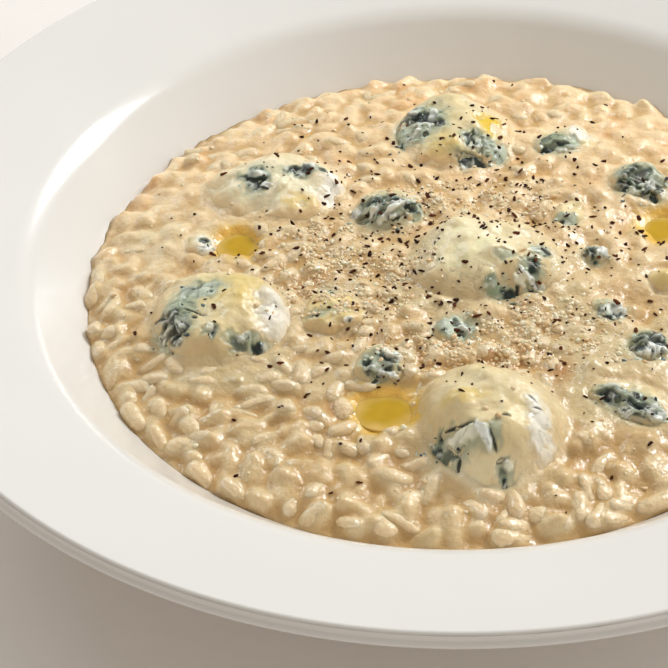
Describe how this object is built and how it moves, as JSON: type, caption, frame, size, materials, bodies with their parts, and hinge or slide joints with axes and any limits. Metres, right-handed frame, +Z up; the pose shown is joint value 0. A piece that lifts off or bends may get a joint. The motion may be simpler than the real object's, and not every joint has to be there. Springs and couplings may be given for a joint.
{
  "type": "gorgonzola risotto",
  "caption": "Creamy rice in a white wide-rimmed bowl plate, dotted with half-melted lumps of blue cheese, small pools of oil and coarse pepper.",
  "frame": {"origin": "centre of the foot ring's underside, on the plate's axis", "axes": "+Z up along the plate's axis; -Y towards the side the picture was taken from; +X to the right of it"},
  "size_m": [0.28, 0.28, 0.046],
  "materials": {
    "glazed_white": "smooth white glaze",
    "rice_cream": "glossy cream sauce over rice grains, with pepper and grated cheese on top",
    "blue_cheese": "soft melted cheese, pale yellow to white, with blue-green veins",
    "oil": "clear golden oil"
  },
  "bodies": {
    "root": {"plate": "glazed_white", "risotto": "rice_cream", "cheese_left": "blue_cheese", "cheese_back_left": "blue_cheese", "cheese_back": "blue_cheese", "cheese_inner": "blue_cheese", "cheese_middle": "blue_cheese", "cheese_front": "blue_cheese", "cheese_right": "blue_cheese", "cheese_back_right": "blue_cheese", "cheese_low_right": "blue_cheese", "cheese_edge": "blue_cheese", "cheese_far_right": "blue_cheese", "crumb_front_left": "blue_cheese", "crumb_heap": "blue_cheese", "crumb_middle": "blue_cheese", "crumb_beside_oil": "blue_cheese", "crumb_right": "blue_cheese", "crumb_right_inner": "blue_cheese", "crumb_right_back": "blue_cheese", "crumb_pale": "blue_cheese", "crumb_pale_edge": "blue_cheese", "crumb_far_edge": "blue_cheese", "crumb_far_right": "blue_cheese", "oil_left": "oil", "oil_front": "oil", "oil_right": "oil"}
  },
  "joints": []
}
